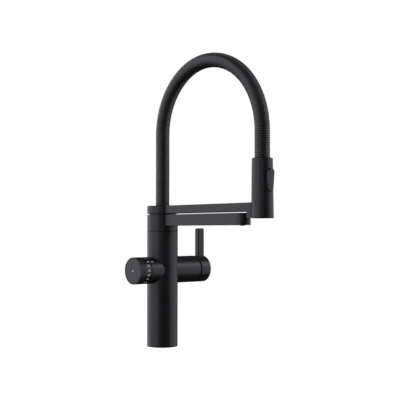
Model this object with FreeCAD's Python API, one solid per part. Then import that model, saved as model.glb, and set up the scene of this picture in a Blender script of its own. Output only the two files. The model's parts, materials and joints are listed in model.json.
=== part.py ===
import FreeCAD, Part
import math
import os

# Three-way filtered water tap: a round column with a mixer lever on its right, a filter dial on its left,
# a swivelling filtered-water spout, and above it a swivelling arm that docks a spray head on a ribbed hose.
# Frame: +Z up, origin at the centre of the foot on the worktop. Both arms point to -Y, the lever is on +X
# and the dial on -X. All sizes are in millimetres and degrees.

# Clearances
FIT = 0.02  # between fixed pieces that seat in each other
RUN = 0.08  # radial, between a turning piece and its bearing
AIR = 0.3  # between bodies that pass each other
WASHER_AIR = 0.2  # above and below a glide ring

# Column and foot
BODY_RADIUS = 26.0
BODY_WALL = 3.0
BODY_HEIGHT = 193.6
BODY_EDGE = 0.3
GASKET_THICKNESS = 1.6
GASKET_INSET = 0.4
GASKET_BORE = 18.6
STUD_CIRCLE = 14.0
STUD_ANGLE = 30.0  # each side of the front
STUD_RADIUS = 4.0
STUD_DEPTH = 12.0
PORT_CIRCLE = 13.0
INLET_RADIUS = 4.5
INLET_DEPTH = 12.0  # up to the tube that seats above it
TUBE_RADIUS = 5.0
TUBE_WALL = 0.8
TUBE_SEAT = 4.0

# Valve block inside the column, on the axis of both side controls
SIDE_AXIS = 128.2
MANIFOLD_HEIGHT = 44.0
MANIFOLD_GAP = 0.2
MANIFOLD_STEP = 3.5  # from the column's bore to the flats that the side valves seat on
WATERWAY_RADIUS = 3.0
RISER_RADIUS = 6.5
RISER_WALL = 1.2

# Mixer valve on the right
VALVE_RADIUS = 22.85
VALVE_LENGTH = 41.9  # column surface to the housing's end
VALVE_SEAM = 2.6
VALVE_SPIGOT_RADIUS = 17.0
CARTRIDGE_RADIUS = 17.5
CARTRIDGE_LENGTH = 26.0
CARTRIDGE_STEP = 4.0  # column surface to the cartridge's seat
CARTRIDGE_FLOOR = 3.0
CARTRIDGE_NUT_LENGTH = 7.0
CARTRIDGE_NUT_BORE = 10.0
DISC_RADIUS = 12.0
DISC_THICKNESS = 2.5
DISC_GAP = 0.1
STEM_RADIUS = 5.0
STEM_GRIP = 8.0
GAP_RING_WALL = 3.0
GAP_RING_OVERLAP = 3.4

# Mixer lever
CAP_LENGTH = 20.7
CAP_CAVITY = 9.4
CAP_EDGE = 0.6
LEVER_LENGTH = 70.9  # valve axis to the bar's top
BAR_WIDTH = 13.6
BAR_THICKNESS = 9.8
BAR_ROUND = 1.4
BAR_TOP_ROUND = 2.6
LEVER_STUD_RADIUS = 2.5
LEVER_STUD_IN_CAP = 10.0
LEVER_STUD_IN_BAR = 12.0
GRUB_SCREW_RADIUS = 2.5
GRUB_SCREW_LENGTH = 8.0

# Filter dial on the left
DIAL_RADIUS = 22.4
BOSS_LENGTH = 13.6  # column surface to the boss's end
BOSS_SPIGOT_RADIUS = 14.0
BOSS_SPIGOT_ROOT = 4.0  # of the spigot inside the boss
DIAL_SEAM = 0.8
DIAL_LENGTH = 22.6
DIAL_LIP = 1.6
DIAL_WEB = 4.0
DIAL_EDGE = 0.5
DIAL_BORE = 15.0
GRIP_LENGTH = 9.5  # fluted part of the dial, from its front
GRIP_FLUTES = 90
GRIP_FLUTE_RADIUS = 0.6
GRIP_DEPTH = 0.15
GLIDE_RING_WIDTH = 3.0
GLIDE_RING_DEPTH = 1.1
HEADPART_RADIUS = 10.0
HEADPART_NECK_RADIUS = 7.0
HEADPART_NECK_LENGTH = 5.0
SPINDLE_RADIUS = 4.0
SPINDLE_DEPTH = 12.0
BUTTON_POCKET = 9.0
BUTTON_THICKNESS = 3.2
BUTTON_GAP = 0.35
BUTTON_EDGE = 0.4
PUSH_ROD_RADIUS = 2.0
PUSH_ROD_LENGTH = 16.0
RETURN_RING_RADIUS = 9.0
RETURN_RING_WALL = 3.0
RETURN_RING_GAP = 0.1  # to the button's back
LENS_RADIUS = 1.6
LENS_DEPTH = 1.0
LENS_PROUD = 0.15
MARK_ANGLE = 42.5  # from the front, upwards, where the index stands
MARK_STEP = 20.0
MARK_LENGTH = 5.2
MARK_WIDTH = 1.6
MARK_DEPTH = 0.4
MARK_PROUD = 0.06
MARK_INSET = 1.3  # from the seam to each dash
MARK_DOT_RADIUS = 0.7

# Swivel post and the stack of arms on it
COLLAR_SEAM = 0.6
COLLAR_HEIGHT = 27.4
SLIT = 1.8
HUB_HEIGHT = 13.3
ARM_WIDTH = 25.4
ARM_EDGE = 0.6
POST_RADIUS = 16.0
POST_BORE = 7.1
POST_FLANGE_HEIGHT = 8.0
POST_THREAD_RADIUS = 14.0
POST_CHANNEL_RADIUS = 2.0
POST_CHANNEL_OFFSET = 10.2
COLLAR_WASHER_THICKNESS = 0.4
COLLAR_WASHER_INSET = 0.6
WASHER_INSET = 3.6
SEAL_THICKNESS = 2.1
SEAL_SPACING = 14.0  # between the post's two seals, above and below the filter port
SEAL_SLACK = 0.05
HUB_WEB = 3.2
HUB_RIM = 4.0
HUB_CAP_THICKNESS = 3.5
HUB_NUT_WALL = 3.4
HUB_NUT_GAP = 0.6

# Filtered-water spout
SPOUT_REACH = 192.7
SPOUT_DEPTH = 18.6
SPOUT_CHANNEL_RADIUS = 4.5
SPOUT_CHANNEL_LAP = 1.0  # of the channel into the collar's groove
COLLAR_GROOVE_DEPTH = 2.4
COLLAR_GROOVE_HEIGHT = 8.0
AERATOR_RADIUS = 4.0
AERATOR_WALL = 1.0
AERATOR_HEIGHT = 6.8
AERATOR_PROUD = 1.0
AERATOR_SEAL = 1.2
SCREEN_RECESS = 1.0
SCREEN_HEIGHT = 3.6
SCREEN_HOLES = 8
SCREEN_HOLE_RADIUS = 0.45
SCREEN_HOLE_CIRCLE = 1.9

# Hose
HOSE_RADIUS = 11.8
HOSE_WALL = 2.1
HOSE_REAR_BEND = 111.0
HOSE_FRONT_LEG = 41.5  # straight run above the spray head
RIB_COUNT = 150
RIB_DEPTH = 0.5
# Each point of a rib: its share of the rib's length, and whether it lies in the groove
RIB_PROFILE = ((0.0, True), (0.2, False), (0.7, False), (0.9, True))
INNER_HOSE_WALL = 2.6
INNER_HOSE_GAP = 0.1
NIPPLE_RADIUS = 7.0
NIPPLE_WALL = 2.8
NIPPLE_LENGTH = 24.0
NIPPLE_FLANGE = 1.5
NIPPLE_LIP = 1.3  # of its flange over the hose
NIPPLE_SEAL_THICKNESS = 1.5
NIPPLE_SEAL_DROP = 14.0

# Spray head
HEAD_LENGTH = 89.8
HEAD_DROP = 0.8  # of its foot below the saddle
HEAD_TOP_RADIUS = 15.75
HEAD_FOOT_RADIUS = 16.9
HEAD_BORE = 13.0
HEAD_ROOF = 4.0
HEAD_EDGE = 0.8
SADDLE_WALL = 4.42
SADDLE_GAP = 8.3  # from the spout's tip to the saddle's back
SADDLE_DROP = 9.7
SADDLE_TIP = 0.7
MAGNET_RADIUS = 5.0
MAGNET_LENGTH = 7.0
MAGNET_RECESS = 0.8
DOCK_PLATE_THICKNESS = 1.0
DOCK_PLATE_WIDTH = 10.0
DOCK_PLATE_HEIGHT = 26.0
DOCK_PLATE_LIFT = 6.0
FERRULE_HEIGHT = 10.0
FERRULE_GAP = 0.4
FERRULE_STEM_RADIUS = 4.0
FERRULE_STEM_LENGTH = 8.0
SWIVEL_SEAL_RADIUS = 8.0
SWIVEL_SEAL_WALL = 2.0
SWIVEL_SEAL_HEIGHT = 1.0
CHECK_VALVE_LENGTH = 12.0
CHECK_VALVE_DROP = 2.0
CHECK_VALVE_BORE = 2.0
CORE_GAP = 0.3
FACE_RECESS = 0.8
FACE_THICKNESS = 5.0
JET_RADIUS = 5.0
JET_HOLE_RADIUS = 0.8
JET_HOLE_CIRCLE = 3.0
JET_HOLES = 6
NOZZLE_RADIUS = 0.8
NOZZLE_PROUD = 0.5
NOZZLE_LENGTH = 3.5
NOZZLE_ROWS = ((7.0, 12), (10.3, 18))  # radius of each circle of nozzles, and how many

# Rocker button on the spray head
ROCKER_CENTRE = 33.0  # below the head's top
ROCKER_HEIGHT = 33.4
ROCKER_WIDTH = 12.0
ROCKER_GAP = 0.9
ROCKER_TOP_PROUD = 4.4
ROCKER_FOOT_PROUD = 0.8
ROCKER_EDGE = 0.9
ROCKER_INNER = 7.5  # head axis to its back
ROCKER_SLOT = 5.1  # head axis to the floor of the slot behind it
PIN_RADIUS = 1.25
PIN_LENGTH = 14.0
PIN_OFFSET = 9.5  # head axis to the pin
PIN_LIFT = 6.4  # above the rocker's foot
TAIL_WIDTH = 4.0
TAIL_HEIGHT = 3.0
TAIL_DROP = 1.5  # below the pin
TAIL_OVERHANG = 1.0  # past the head's axis
TAIL_ROOM = 2.5
SPOOL_LENGTH = 23.0
SPOOL_RADIUS = 4.0
SPOOL_TRAVEL = 1.5

# Places worked out from the sizes above
BODY_INNER = BODY_RADIUS - BODY_WALL
MANIFOLD_FLAT = BODY_INNER - MANIFOLD_STEP
MANIFOLD_LOW = SIDE_AXIS - MANIFOLD_HEIGHT / 2
MANIFOLD_HIGH = SIDE_AXIS + MANIFOLD_HEIGHT / 2
INLET_TOP = GASKET_THICKNESS + INLET_DEPTH
BASE_PLUG_TOP = INLET_TOP + TUBE_SEAT
PORTS = {"hot": (-PORT_CIRCLE, 0.0), "cold": (PORT_CIRCLE, 0.0), "filter": (0.0, PORT_CIRCLE)}
TUBE_BORE = TUBE_RADIUS - TUBE_WALL

VALVE_END = BODY_RADIUS + VALVE_LENGTH
CARTRIDGE_SEAT = BODY_RADIUS + CARTRIDGE_STEP
CARTRIDGE_END = CARTRIDGE_SEAT + CARTRIDGE_LENGTH
CARTRIDGE_NUT_END = CARTRIDGE_END + CARTRIDGE_NUT_LENGTH
FIXED_DISC_START = CARTRIDGE_SEAT + CARTRIDGE_FLOOR
MOVING_DISC_START = FIXED_DISC_START + DISC_THICKNESS + DISC_GAP
MOVING_DISC_END = MOVING_DISC_START + DISC_THICKNESS
CAP_START = VALVE_END + VALVE_SEAM
CAP_END = CAP_START + CAP_LENGTH
CAP_FLOOR = CAP_START + CAP_CAVITY
GAP_RING_END = CAP_START + GAP_RING_OVERLAP
BAR_CENTRE = CAP_END - BAR_WIDTH / 2

BOSS_END = BODY_RADIUS + BOSS_LENGTH
DIAL_START = BOSS_END + DIAL_SEAM
DIAL_END = DIAL_START + DIAL_LENGTH
WEB_OUTER = DIAL_END - BUTTON_POCKET
WEB_INNER = WEB_OUTER - DIAL_WEB
BUTTON_BACK = DIAL_END - BUTTON_THICKNESS
POCKET_RADIUS = DIAL_RADIUS - DIAL_LIP
NECK_END = BOSS_END + HEADPART_NECK_LENGTH
SPINDLE_START = NECK_END - SPINDLE_DEPTH
GLIDE_RING_INNER = DIAL_BORE + AIR

COLLAR_BOTTOM = BODY_HEIGHT + COLLAR_SEAM
COLLAR_TOP = COLLAR_BOTTOM + COLLAR_HEIGHT
HUB_BOTTOM = COLLAR_TOP + SLIT
HUB_TOP = HUB_BOTTOM + HUB_HEIGHT
HUB_MIDDLE = HUB_BOTTOM + HUB_HEIGHT / 2
FLANGE_TOP = COLLAR_BOTTOM - WASHER_AIR - COLLAR_WASHER_THICKNESS
FLANGE_BOTTOM = FLANGE_TOP - POST_FLANGE_HEIGHT
HUB_FLOOR = HUB_BOTTOM + HUB_WEB
HUB_CAP_BOTTOM = HUB_TOP - HUB_CAP_THICKNESS
NIPPLE_FLANGE_BOTTOM = HUB_CAP_BOTTOM - NIPPLE_FLANGE
POST_TOP = NIPPLE_FLANGE_BOTTOM - AIR
HUB_NUT_BOTTOM = HUB_FLOOR + WASHER_AIR
HUB_NUT_RADIUS = POST_THREAD_RADIUS + HUB_NUT_WALL
HUB_CAVITY_RADIUS = HUB_NUT_RADIUS + HUB_NUT_GAP
HUB_CAP_RADIUS = BODY_RADIUS - HUB_RIM
FILTER_PORT_HEIGHT = COLLAR_BOTTOM + COLLAR_HEIGHT / 2

HALF_ARM = ARM_WIDTH / 2
SPOUT_BOTTOM = COLLAR_TOP - SPOUT_DEPTH
SPOUT_MIDDLE = COLLAR_TOP - SPOUT_DEPTH / 2
AERATOR_BOTTOM = SPOUT_BOTTOM - AERATOR_PROUD
AERATOR_TOP = AERATOR_BOTTOM + AERATOR_HEIGHT
AERATOR_BORE = AERATOR_RADIUS - AERATOR_WALL

SADDLE_RADIUS = HEAD_FOOT_RADIUS + RUN
SADDLE_BACK = -SPOUT_REACH - HALF_ARM - SADDLE_GAP
HEAD_Y = SADDLE_BACK - SADDLE_WALL - SADDLE_RADIUS
SADDLE_FRONT = HEAD_Y + math.sqrt(SADDLE_RADIUS**2 - (HALF_ARM - SADDLE_TIP) ** 2)
SADDLE_BOTTOM = HUB_BOTTOM - SADDLE_DROP
HEAD_FOOT = SADDLE_BOTTOM - HEAD_DROP
HEAD_TOP = HEAD_FOOT + HEAD_LENGTH
HEAD_CEILING = HEAD_TOP - HEAD_ROOF
FERRULE_TOP = HEAD_CEILING - AIR
FERRULE_BOTTOM = FERRULE_TOP - FERRULE_HEIGHT
CORE_TOP = FERRULE_BOTTOM - AIR
FACE_BOTTOM = HEAD_FOOT + FACE_RECESS
FACE_TOP = FACE_BOTTOM + FACE_THICKNESS
CORE_RADIUS = HEAD_BORE - CORE_GAP - DOCK_PLATE_THICKNESS / 2
CORE_BORE = FERRULE_STEM_RADIUS + RUN
ROCKER_Z = HEAD_TOP - ROCKER_CENTRE
ROCKER_FOOT = ROCKER_Z - ROCKER_HEIGHT / 2
ROCKER_TOP = ROCKER_Z + ROCKER_HEIGHT / 2
PIN_Z = ROCKER_FOOT + PIN_LIFT
PIN_Y = HEAD_Y - PIN_OFFSET
TAIL_TOP = PIN_Z - TAIL_DROP
TAIL_BOTTOM = TAIL_TOP - TAIL_HEIGHT
SPOOL_TOP = TAIL_BOTTOM - AIR
SPOOL_BOTTOM = SPOOL_TOP - SPOOL_LENGTH

HOSE_START = HUB_CAP_BOTTOM
HOSE_END = HEAD_TOP + AIR
HOSE_REACH = -HEAD_Y
HOSE_FRONT_BEND = HOSE_REACH - HOSE_REAR_BEND
HOSE_APEX = HOSE_END + HOSE_FRONT_LEG + HOSE_FRONT_BEND
HOSE_REAR_LEG = HOSE_APEX - HOSE_REAR_BEND - HOSE_START
HOSE_BORE = HOSE_RADIUS - HOSE_WALL
HOSE_LENGTH = HOSE_REAR_LEG + HOSE_FRONT_LEG + math.pi / 2 * HOSE_REACH


# Building blocks
def vec(x, y, z):
    return FreeCAD.Vector(x, y, z)


def rod_z(radius, low, high, x=0.0, y=0.0):
    return Part.makeCylinder(radius, high - low, vec(x, y, low), vec(0, 0, 1))


def rod_x(radius, low, high, y=0.0, z=SIDE_AXIS):
    return Part.makeCylinder(radius, high - low, vec(low, y, z), vec(1, 0, 0))


def rod_y(radius, low, high, x, z):
    return Part.makeCylinder(radius, high - low, vec(x, low, z), vec(0, 1, 0))


def ring_z(outer, inner, low, high, x=0.0, y=0.0):
    return rod_z(outer, low, high, x, y).cut(rod_z(inner, low, high, x, y))


def ring_x(outer, inner, low, high):
    return rod_x(outer, low, high).cut(rod_x(inner, low, high))


def box(low, high):
    size = [b - a for a, b in zip(low, high)]
    return Part.makeBox(*size, vec(*low))


def on_circle(radius, degrees):
    """A place on a circle in plan, with 0 degrees at +X and 90 at +Y."""
    angle = math.radians(degrees)
    return radius * math.cos(angle), radius * math.sin(angle)


def flat_edges(shape, axis, value):
    """The edges that lie wholly in the plane where the axis, 0 to 2 for X to Z, has this value."""
    found = []
    for edge in shape.Edges:
        bounds = edge.BoundBox
        low = (bounds.XMin, bounds.YMin, bounds.ZMin)[axis]
        high = (bounds.XMax, bounds.YMax, bounds.ZMax)[axis]
        if abs(low - value) < 1e-4 and abs(high - value) < 1e-4:
            found.append(edge)
    return found


def seal_z(bore, thickness, z, x=0.0, y=0.0):
    """An O-ring lying flat round a bore's axis, just clear of the bore's wall."""
    outer = bore - SEAL_SLACK
    return Part.makeTorus(outer - thickness / 2, thickness / 2, vec(x, y, z), vec(0, 0, 1))


def seal_groove_z(bore, thickness, z):
    """The groove that holds such a ring, square in section and a little roomier."""
    inner = bore - 2 * SEAL_SLACK - thickness
    reach = thickness / 2 + SEAL_SLACK
    return ring_z(bore + thickness, inner, z - reach, z + reach)


# Column and foot
def base_gasket():
    return ring_z(BODY_RADIUS - GASKET_INSET, GASKET_BORE, 0.0, GASKET_THICKNESS)


def base_plug():
    plug = rod_z(BODY_INNER - FIT, GASKET_THICKNESS, BASE_PLUG_TOP)
    cuts = []
    for x, y in PORTS.values():
        cuts.append(rod_z(INLET_RADIUS, GASKET_THICKNESS, INLET_TOP, x, y))
        cuts.append(rod_z(TUBE_RADIUS + FIT, INLET_TOP, BASE_PLUG_TOP, x, y))
    for side in (-STUD_ANGLE, STUD_ANGLE):
        x, y = on_circle(STUD_CIRCLE, side - 90.0)
        cuts.append(rod_z(STUD_RADIUS, GASKET_THICKNESS, GASKET_THICKNESS + STUD_DEPTH, x, y))
    return plug.cut(cuts)


def body_shell():
    column = rod_z(BODY_RADIUS, GASKET_THICKNESS, BODY_HEIGHT)
    ends = flat_edges(column, 2, GASKET_THICKNESS) + flat_edges(column, 2, BODY_HEIGHT)
    column = column.makeFillet(BODY_EDGE, ends)
    bore = rod_z(BODY_INNER, GASKET_THICKNESS, BODY_HEIGHT)
    valve_hole = rod_x(VALVE_SPIGOT_RADIUS + FIT, 0.0, 2 * BODY_RADIUS)
    dial_hole = rod_x(BOSS_SPIGOT_RADIUS + FIT, -2 * BODY_RADIUS, 0.0)
    return column.cut([bore, valve_hole, dial_hole])


def supply_tube(name):
    x, y = PORTS[name]
    return ring_z(TUBE_RADIUS, TUBE_BORE, INLET_TOP, MANIFOLD_LOW + TUBE_SEAT, x, y)


def valve_manifold():
    block = rod_z(BODY_INNER - MANIFOLD_GAP, MANIFOLD_LOW, MANIFOLD_HIGH)
    flats = box(
        (-MANIFOLD_FLAT, -BODY_RADIUS, MANIFOLD_LOW),
        (MANIFOLD_FLAT, BODY_RADIUS, MANIFOLD_HIGH),
    )
    block = block.common(flats)
    cuts = []
    for x, y in PORTS.values():
        cuts.append(rod_z(TUBE_RADIUS + FIT, MANIFOLD_LOW, MANIFOLD_LOW + TUBE_SEAT, x, y))
        cuts.append(rod_z(WATERWAY_RADIUS, MANIFOLD_LOW, SIDE_AXIS, x, y))
    x, y = PORTS["filter"]
    cuts.append(rod_z(TUBE_RADIUS + FIT, MANIFOLD_HIGH - TUBE_SEAT, MANIFOLD_HIGH, x, y))
    cuts.append(rod_z(WATERWAY_RADIUS, SIDE_AXIS, MANIFOLD_HIGH, x, y))
    cuts.append(rod_z(RISER_RADIUS + FIT, MANIFOLD_HIGH - TUBE_SEAT, MANIFOLD_HIGH))
    cuts.append(rod_z(WATERWAY_RADIUS, SIDE_AXIS, MANIFOLD_HIGH))
    cuts.append(rod_x(WATERWAY_RADIUS, -MANIFOLD_FLAT, MANIFOLD_FLAT))
    return block.cut(cuts)


def mixed_riser():
    bore = RISER_RADIUS - RISER_WALL
    return ring_z(RISER_RADIUS, bore, MANIFOLD_HIGH - TUBE_SEAT, FLANGE_BOTTOM + TUBE_SEAT)


def filter_riser():
    x, y = PORTS["filter"]
    return ring_z(TUBE_RADIUS, TUBE_BORE, MANIFOLD_HIGH - TUBE_SEAT, FLANGE_BOTTOM + TUBE_SEAT, x, y)


# Mixer valve
def clear_of_column():
    """The space that the column fills, a fit larger, to shape the side housings to it."""
    return rod_z(BODY_RADIUS + FIT, 0.0, 2 * BODY_HEIGHT)


def valve_housing():
    tube = rod_x(VALVE_RADIUS, 0.0, VALVE_END)
    tube = tube.makeFillet(CAP_EDGE, flat_edges(tube, 0, VALVE_END))
    tube = tube.cut(clear_of_column())
    tube = tube.fuse(rod_x(VALVE_SPIGOT_RADIUS, MANIFOLD_FLAT, CARTRIDGE_SEAT))
    bore = rod_x(CARTRIDGE_RADIUS + FIT, CARTRIDGE_SEAT, VALVE_END)
    waterway = rod_x(WATERWAY_RADIUS, MANIFOLD_FLAT, CARTRIDGE_SEAT)
    return tube.cut([bore, waterway])


def mixer_cartridge():
    shell = rod_x(CARTRIDGE_RADIUS, CARTRIDGE_SEAT, CARTRIDGE_END)
    chamber = rod_x(DISC_RADIUS + AIR, FIXED_DISC_START, MOVING_DISC_END + AIR)
    stem_hole = rod_x(STEM_RADIUS + RUN, MOVING_DISC_END, CARTRIDGE_END)
    waterway = rod_x(WATERWAY_RADIUS, CARTRIDGE_SEAT, FIXED_DISC_START)
    return shell.cut([chamber, stem_hole, waterway])


def fixed_disc():
    return ring_x(DISC_RADIUS, WATERWAY_RADIUS, FIXED_DISC_START, FIXED_DISC_START + DISC_THICKNESS)


def cartridge_nut():
    return ring_x(CARTRIDGE_RADIUS, CARTRIDGE_NUT_BORE, CARTRIDGE_END, CARTRIDGE_NUT_END)


def valve_gap_ring():
    return ring_x(CARTRIDGE_RADIUS, CARTRIDGE_RADIUS - GAP_RING_WALL, CARTRIDGE_NUT_END, GAP_RING_END)


# Mixer lever
def moving_disc():
    return rod_x(DISC_RADIUS, MOVING_DISC_START, MOVING_DISC_END)


def cartridge_stem():
    return rod_x(STEM_RADIUS, MOVING_DISC_END, CAP_FLOOR + STEM_GRIP)


def grub_hole_x():
    return CAP_FLOOR + STEM_GRIP / 2


def lever_cap():
    cap = rod_x(VALVE_RADIUS, CAP_START, CAP_END)
    ends = flat_edges(cap, 0, CAP_START) + flat_edges(cap, 0, CAP_END)
    cap = cap.makeFillet(CAP_EDGE, ends)
    cavity = rod_x(CARTRIDGE_RADIUS + 2 * AIR, CAP_START, CAP_FLOOR)
    stem_hole = rod_x(STEM_RADIUS + FIT, CAP_FLOOR, CAP_FLOOR + STEM_GRIP)
    surface = SIDE_AXIS + VALVE_RADIUS
    stud_hole = rod_z(LEVER_STUD_RADIUS + FIT, surface - LEVER_STUD_IN_CAP, surface, BAR_CENTRE)
    grub_hole = rod_z(GRUB_SCREW_RADIUS + FIT, SIDE_AXIS - VALVE_RADIUS, SIDE_AXIS, grub_hole_x())
    return cap.cut([cavity, stem_hole, stud_hole, grub_hole])


def lever_bar():
    bar = box(
        (CAP_END - BAR_WIDTH, -BAR_THICKNESS / 2, SIDE_AXIS),
        (CAP_END, BAR_THICKNESS / 2, SIDE_AXIS + LEVER_LENGTH),
    )
    bar = bar.makeFillet(BAR_TOP_ROUND, flat_edges(bar, 2, SIDE_AXIS + LEVER_LENGTH))
    sides = [edge for edge in bar.Edges if edge.BoundBox.ZLength > LEVER_LENGTH / 2]
    bar = bar.makeFillet(BAR_ROUND, sides)
    saddle = rod_x(VALVE_RADIUS + FIT, 0.0, 2 * CAP_END)
    surface = SIDE_AXIS + VALVE_RADIUS
    stud_hole = rod_z(LEVER_STUD_RADIUS + FIT, SIDE_AXIS, surface + LEVER_STUD_IN_BAR, BAR_CENTRE)
    return bar.cut([saddle, stud_hole])


def lever_stud():
    surface = SIDE_AXIS + VALVE_RADIUS
    return rod_z(LEVER_STUD_RADIUS, surface - LEVER_STUD_IN_CAP, surface + LEVER_STUD_IN_BAR, BAR_CENTRE)


def lever_grub_screw():
    tip = SIDE_AXIS - STEM_RADIUS - FIT
    return rod_z(GRUB_SCREW_RADIUS, tip - GRUB_SCREW_LENGTH, tip, grub_hole_x())


# Filter dial
def dash(start, end, reach):
    """A dash along the dial's axis at the index angle, from a mark's depth to reach above the surface."""
    skin = ring_x(DIAL_RADIUS + reach, DIAL_RADIUS - MARK_DEPTH, -end, -start)
    strip = box(
        (-end, -2 * DIAL_RADIUS, SIDE_AXIS - MARK_WIDTH / 2),
        (-start, 0.0, SIDE_AXIS + MARK_WIDTH / 2),
    )
    strip.rotate(vec(0, 0, SIDE_AXIS), vec(-1, 0, 0), MARK_ANGLE)
    return skin.common(strip)


def index_dash(reach):
    return dash(BOSS_END - MARK_INSET - MARK_LENGTH, BOSS_END - MARK_INSET, reach)


def zero_dash(reach):
    return dash(DIAL_START + MARK_INSET, DIAL_START + MARK_INSET + MARK_LENGTH, reach)


def flow_dot(reach):
    """A round mark one step above the dial's zero."""
    middle = DIAL_START + MARK_INSET + MARK_LENGTH / 2
    skin = ring_x(DIAL_RADIUS + reach, DIAL_RADIUS - MARK_DEPTH, -DIAL_END, -DIAL_START)
    peg = rod_y(MARK_DOT_RADIUS, -2 * DIAL_RADIUS, 0.0, -middle, SIDE_AXIS)
    peg.rotate(vec(0, 0, SIDE_AXIS), vec(-1, 0, 0), MARK_ANGLE + MARK_STEP)
    return skin.common(peg)


def dial_boss():
    boss = rod_x(DIAL_RADIUS, -BOSS_END, 0.0)
    boss = boss.makeFillet(DIAL_EDGE, flat_edges(boss, 0, -BOSS_END))
    boss = boss.cut(clear_of_column())
    boss = boss.fuse(rod_x(BOSS_SPIGOT_RADIUS, -BODY_RADIUS - BOSS_SPIGOT_ROOT, -MANIFOLD_FLAT))
    bore = rod_x(HEADPART_RADIUS + FIT, -BOSS_END, -MANIFOLD_FLAT)
    groove = ring_x(
        GLIDE_RING_INNER + GLIDE_RING_WIDTH + FIT,
        GLIDE_RING_INNER - FIT,
        -BOSS_END,
        -BOSS_END + GLIDE_RING_DEPTH,
    )
    return boss.cut([bore, groove, index_dash(MARK_DEPTH)])


def dial_glide_ring():
    outer = GLIDE_RING_INNER + GLIDE_RING_WIDTH
    return ring_x(outer, GLIDE_RING_INNER, -DIAL_START + AIR, -BOSS_END + GLIDE_RING_DEPTH)


def filter_headpart():
    barrel = rod_x(HEADPART_RADIUS, -BOSS_END, -MANIFOLD_FLAT)
    barrel = barrel.fuse(rod_x(HEADPART_NECK_RADIUS, -NECK_END, -BOSS_END))
    spindle_hole = rod_x(SPINDLE_RADIUS + RUN, -NECK_END, -SPINDLE_START + AIR)
    waterway = rod_x(WATERWAY_RADIUS, -SPINDLE_START, -MANIFOLD_FLAT)
    return barrel.cut([spindle_hole, waterway])


def grip_flutes():
    """Cutters for the fine flutes round the front of the dial."""
    cutters = []
    for step in range(GRIP_FLUTES):
        y, rise = on_circle(DIAL_RADIUS + GRIP_FLUTE_RADIUS - GRIP_DEPTH, step * 360.0 / GRIP_FLUTES)
        cutters.append(rod_x(GRIP_FLUTE_RADIUS, -DIAL_END, -DIAL_END + GRIP_LENGTH, y, SIDE_AXIS + rise))
    return cutters


def dial_ring():
    ring = rod_x(DIAL_RADIUS, -DIAL_END, -DIAL_START)
    ends = flat_edges(ring, 0, -DIAL_END) + flat_edges(ring, 0, -DIAL_START)
    ring = ring.makeFillet(DIAL_EDGE, ends)
    bore = rod_x(DIAL_BORE, -WEB_INNER, -DIAL_START)
    pocket = rod_x(POCKET_RADIUS, -DIAL_END, -WEB_OUTER)
    spindle_hole = rod_x(SPINDLE_RADIUS + FIT, -WEB_OUTER, -WEB_INNER)
    cuts = [bore, pocket, spindle_hole, zero_dash(MARK_DEPTH), flow_dot(MARK_DEPTH)]
    return ring.cut(cuts + grip_flutes())


def dial_marks():
    return Part.makeCompound([zero_dash(MARK_PROUD), flow_dot(MARK_PROUD)])


def dial_spindle():
    return ring_x(SPINDLE_RADIUS, PUSH_ROD_RADIUS + RUN, -WEB_OUTER, -SPINDLE_START)


def dial_button():
    disc = rod_x(POCKET_RADIUS - BUTTON_GAP, -DIAL_END, -BUTTON_BACK)
    disc = disc.makeFillet(BUTTON_EDGE, flat_edges(disc, 0, -DIAL_END))
    disc = disc.fuse(rod_x(PUSH_ROD_RADIUS, -BUTTON_BACK, -BUTTON_BACK + PUSH_ROD_LENGTH))
    return disc.cut(rod_x(LENS_RADIUS + FIT, -DIAL_END, -DIAL_END + LENS_DEPTH))


def button_return_ring():
    inner = RETURN_RING_RADIUS - RETURN_RING_WALL
    return ring_x(RETURN_RING_RADIUS, inner, -BUTTON_BACK + RETURN_RING_GAP, -WEB_OUTER)


def button_lens():
    return rod_x(LENS_RADIUS, -DIAL_END - LENS_PROUD, -DIAL_END + LENS_DEPTH)


# Swivel post
def post_seal_heights():
    return [FILTER_PORT_HEIGHT + step * SEAL_SPACING / 2 for step in (-1, 1)]


def swivel_post():
    post = rod_z(BODY_INNER - FIT, FLANGE_BOTTOM, FLANGE_TOP)
    post = post.fuse(rod_z(POST_RADIUS, FLANGE_TOP, HUB_NUT_BOTTOM))
    post = post.fuse(rod_z(POST_THREAD_RADIUS, HUB_NUT_BOTTOM, POST_TOP))
    x, y = PORTS["filter"]
    tubes_end = FLANGE_BOTTOM + TUBE_SEAT
    cuts = [
        rod_z(POST_BORE, FLANGE_BOTTOM, POST_TOP),
        rod_z(RISER_RADIUS + FIT, FLANGE_BOTTOM, tubes_end),
        rod_z(TUBE_RADIUS + FIT, FLANGE_BOTTOM, tubes_end, x, y),
        rod_z(POST_CHANNEL_RADIUS, tubes_end, FILTER_PORT_HEIGHT, 0.0, POST_CHANNEL_OFFSET),
        rod_y(POST_CHANNEL_RADIUS, POST_CHANNEL_OFFSET, 2 * POST_RADIUS, 0.0, FILTER_PORT_HEIGHT),
    ]
    for z in post_seal_heights():
        cuts.append(seal_groove_z(POST_RADIUS + RUN, SEAL_THICKNESS, z))
    return post.cut(cuts)


def post_seals():
    return Part.makeCompound([seal_z(POST_RADIUS + RUN, SEAL_THICKNESS, z) for z in post_seal_heights()])


def collar_washer():
    outer = BODY_RADIUS - COLLAR_WASHER_INSET
    return ring_z(outer, POST_RADIUS + FIT, FLANGE_TOP, FLANGE_TOP + COLLAR_WASHER_THICKNESS)


def hub_washer():
    outer = BODY_RADIUS - WASHER_INSET
    return ring_z(outer, POST_RADIUS + FIT, COLLAR_TOP + WASHER_AIR, HUB_BOTTOM - WASHER_AIR)


def hub_nut():
    return ring_z(HUB_NUT_RADIUS, POST_THREAD_RADIUS + FIT, HUB_NUT_BOTTOM, POST_TOP)


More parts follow.
